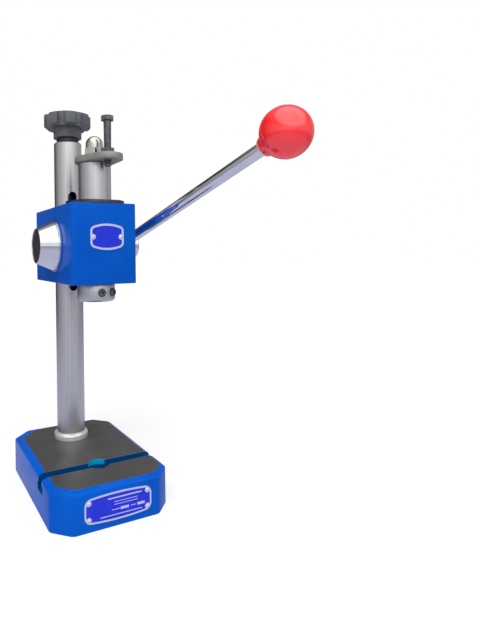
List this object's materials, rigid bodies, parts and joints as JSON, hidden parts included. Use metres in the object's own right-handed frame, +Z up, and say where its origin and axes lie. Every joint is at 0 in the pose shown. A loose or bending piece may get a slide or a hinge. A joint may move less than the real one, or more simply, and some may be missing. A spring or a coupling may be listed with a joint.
{
  "type": "manual punch press",
  "caption": "Bench hand press: a lever, pinion and toothed ram in a head that slides on a round column, over a slotted cast base.",
  "frame": {"origin": "centre of the base's underside, on the bench", "axes": "+X to the right, +Y from the ram back to the column, +Z up; the front faces -Y"},
  "size_m": [0.162, 0.3362, 0.4158],
  "materials": {
    "enamel": "glossy cobalt blue enamel on cast iron",
    "ground_steel": "ground satin steel",
    "plain_steel": "machined steel",
    "black_steel": "black oxide steel",
    "bronze": "turned bronze",
    "chrome": "mirror chrome plate",
    "knob_plastic": "dark grey moulded phenolic",
    "ball_plastic": "glossy red moulded plastic",
    "plate_sheet": "printed aluminium sheet, blank"
  },
  "bodies": {
    "frame": {"base": "enamel", "column": "ground_steel", "column_foot_ring": "ground_steel", "column_bolt": "black_steel", "column_bolt_washer": "plain_steel", "column_top_bush": "bronze", "base_nameplate": "plate_sheet", "base_nameplate_rivets": "plain_steel"},
    "height_screw": {"height_knob": "knob_plastic", "knob_thrust_collar": "black_steel", "lead_screw": "plain_steel", "knob_pin": "black_steel", "screw_retaining_collar": "black_steel"},
    "head": {"head": "enamel", "ram_guide_bush": "black_steel", "guide_flange_screws": "black_steel", "lift_nut": "bronze", "lift_nut_pin": "plain_steel", "head_badge": "plate_sheet", "head_badge_rivets": "plain_steel", "pinion_bush_left": "bronze", "pinion_bush_right": "bronze", "spring_cover": "chrome", "spring_cover_cap": "black_steel", "return_spring": "plain_steel", "ram_key_screw": "black_steel", "column_lock_pads": "bronze"},
    "lock_upper": {"lock_screw_upper": "black_steel"},
    "lock_lower": {"lock_screw_lower": "black_steel"},
    "ram": {"ram": "ground_steel", "stop_plate": "plain_steel", "ram_stud": "black_steel", "acorn_nut": "chrome", "stop_bolt_locknut": "black_steel"},
    "stop_bolt": {"stop_bolt": "black_steel"},
    "clamp_front": {"shank_clamp_screw_front": "black_steel"},
    "clamp_side": {"shank_clamp_screw_side": "black_steel"},
    "lever": {"pinion_shaft": "plain_steel", "pinion_retaining_ring": "black_steel", "lever_hub": "chrome", "hub_pin": "plain_steel", "lever_rod": "chrome", "ball_knob": "ball_plastic", "ball_insert": "plain_steel"}
  },
  "joints": [
    {"name": "screw_turn", "type": "hinge", "parent": "frame", "child": "height_screw", "pos_m": [0, 0.0465, 0.38], "axis": [0, 0, -1], "range_deg": [-11701, 4501]},
    {"name": "head_height", "type": "slide", "parent": "frame", "child": "head", "axis": [0, 0, 1], "range_m": [-0.065, 0.025]},
    {"name": "lever_turn", "type": "hinge", "parent": "head", "child": "lever", "pos_m": [0, -0.0117, 0.259], "axis": [1, 0, 0], "range_deg": [0, 114.5], "stiffness_Nm_per_rad": 0.3, "springref_deg": -131.78},
    {"name": "ram_stroke", "type": "slide", "parent": "head", "child": "ram", "axis": [0, 0, -1], "range_m": [0, 0.032]},
    {"name": "stop_bolt_set", "type": "slide", "parent": "ram", "child": "stop_bolt", "axis": [0, 0, 1], "range_m": [0, 0.012]},
    {"name": "lock_upper_screw", "type": "slide", "parent": "head", "child": "lock_upper", "axis": [1, 0, 0], "range_m": [0, 0.003]},
    {"name": "lock_lower_screw", "type": "slide", "parent": "head", "child": "lock_lower", "axis": [1, 0, 0], "range_m": [0, 0.003]},
    {"name": "clamp_front_screw", "type": "slide", "parent": "ram", "child": "clamp_front", "axis": [-0.0523, -0.9986, 0], "range_m": [0, 0.003]},
    {"name": "clamp_side_screw", "type": "slide", "parent": "ram", "child": "clamp_side", "axis": [0.6018, -0.7986, 0], "range_m": [0, 0.003]}
  ],
  "couplings": [
    {"joint": "screw_turn", "follows": "head_height", "rad_per_m": 3141.6},
    {"joint": "ram_stroke", "follows": "lever_turn", "m_per_rad": 0.016}
  ]
}
